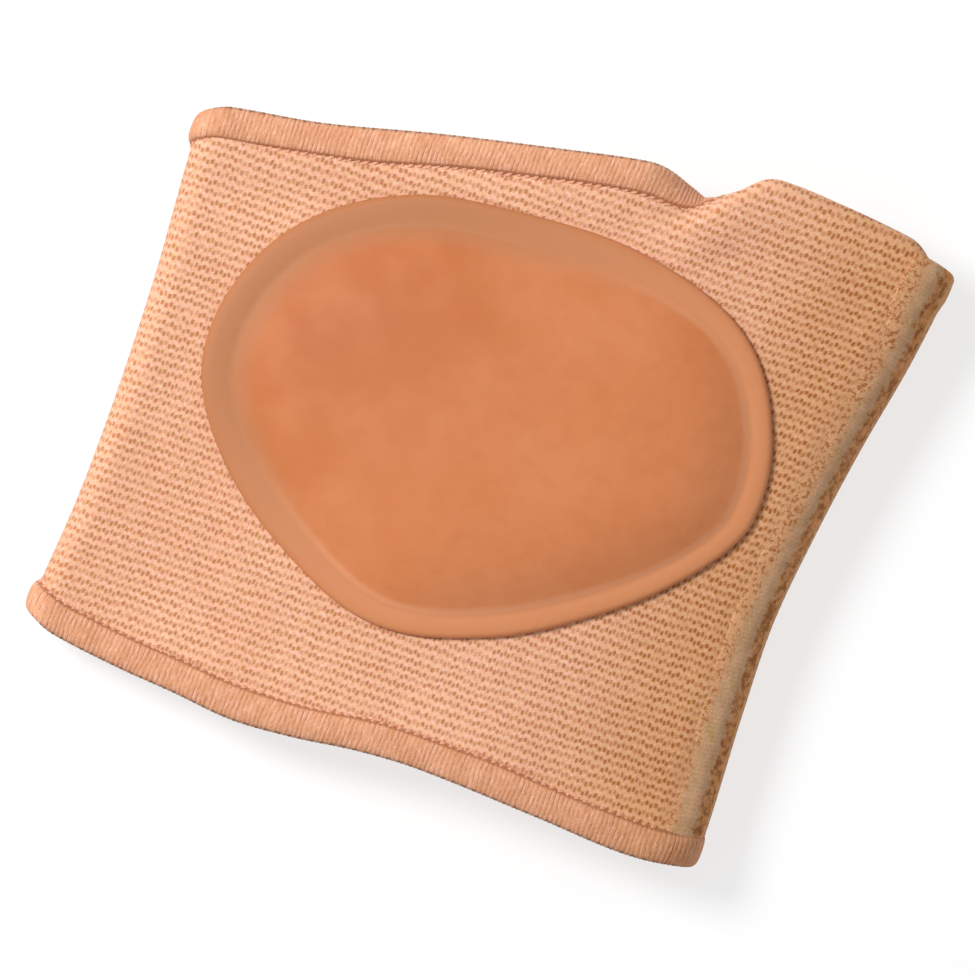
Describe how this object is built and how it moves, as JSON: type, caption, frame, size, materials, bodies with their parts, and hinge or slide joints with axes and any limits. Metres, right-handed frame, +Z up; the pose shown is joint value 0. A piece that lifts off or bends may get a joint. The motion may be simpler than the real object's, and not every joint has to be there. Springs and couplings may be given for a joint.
{
  "type": "metatarsal pad sleeve",
  "caption": "Flattened elastic knit tube for the ball of the foot, with hemmed mouths, a side seam and a domed gel cushion bonded to its front panel.",
  "frame": {"origin": "centre of the bounding box in plan, on the plane that the back panel rests on", "axes": "+X along the knit rows from the folded side to the seam side, +Y along the tube from the lower mouth to the upper mouth, +Z up through the front panel and the gel cushion"},
  "size_m": [0.0902, 0.0814, 0.0161],
  "materials": {
    "peach_knit": "matte ribbed elastic knit",
    "seam_thread": "matte overlocked thread",
    "hem_thread": "matte puffy overlocked thread",
    "gel": "translucent satin silicone gel"
  },
  "bodies": {
    "root": {"sleeve_knit": "peach_knit", "side_seam": "seam_thread", "upper_hem": "hem_thread", "lower_hem": "hem_thread", "gel_pad": "gel"}
  },
  "joints": []
}
